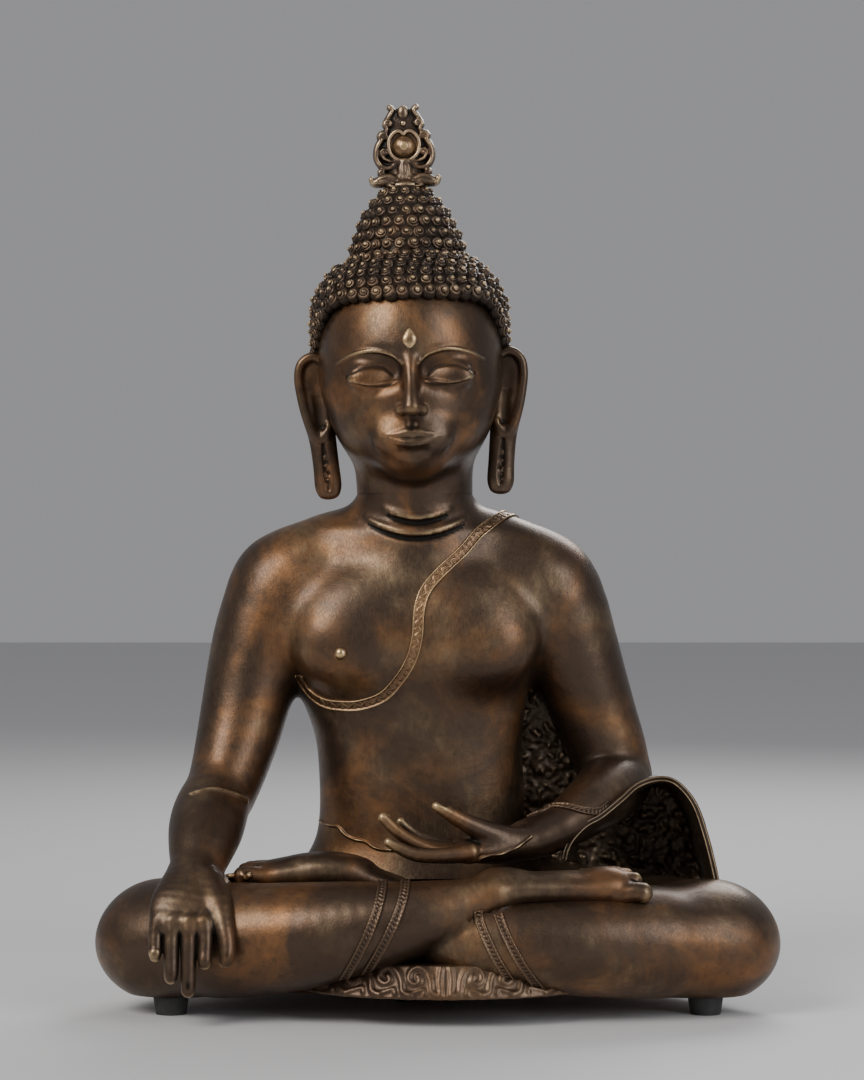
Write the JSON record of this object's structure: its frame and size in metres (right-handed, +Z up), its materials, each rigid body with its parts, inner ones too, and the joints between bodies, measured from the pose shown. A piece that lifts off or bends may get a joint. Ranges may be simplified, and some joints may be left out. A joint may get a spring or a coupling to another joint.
{
  "type": "seated_figure_statue",
  "caption": "Hollow cast bronze seated figure with one hand reaching to the ground, built from joined sections, standing on rubber pads.",
  "frame": {"origin": "on the surface the statue stands on, at the middle of its footprint", "axes": "X across the knees with the figure's own right side at -X; the figure faces -Y; Z up"},
  "size_m": [0.3802, 0.2287, 0.5165],
  "materials": {
    "bronze": "oxidised dark brown patina, rubbed satin",
    "bronze_plain": "as cast",
    "hair_bronze": "dark oxidised, rubbed tips",
    "brass_trim": "rubbed bright over brown patina",
    "copper_sheet": "dull beaten sheet",
    "rubber": "matt",
    "steel": "zinc plated"
  },
  "bodies": {
    "root": {"hip_casting": "bronze", "right_leg": "bronze", "left_leg": "bronze", "right_foot": "bronze", "left_foot": "bronze", "torso_casting": "bronze", "neck_sleeve": "bronze_plain", "neck_pins": "bronze_plain", "right_arm": "bronze", "left_arm": "bronze", "right_hand": "bronze", "left_hand": "bronze", "chest_hem_band": "brass_trim", "waist_edge": "bronze", "right_shin_hems": "brass_trim", "left_shin_hems": "brass_trim", "sleeve_cuff": "brass_trim", "robe_back_web": "bronze", "hanging_sleeve": "bronze", "skirt_fan": "bronze", "head_casting": "bronze", "hair_cap": "hair_bronze", "hair_knot": "hair_bronze", "finial": "brass_trim", "finial_cabochon": "brass_trim", "right_ear": "bronze", "left_ear": "bronze", "urna_drop": "brass_trim", "breast_stud": "brass_trim", "base_plate": "copper_sheet", "rubber_pad_left": "rubber", "rubber_pad_right": "rubber", "rubber_pad_centre": "rubber", "rubber_pad_rear": "rubber", "pad_screws": "steel"}
  },
  "joints": []
}
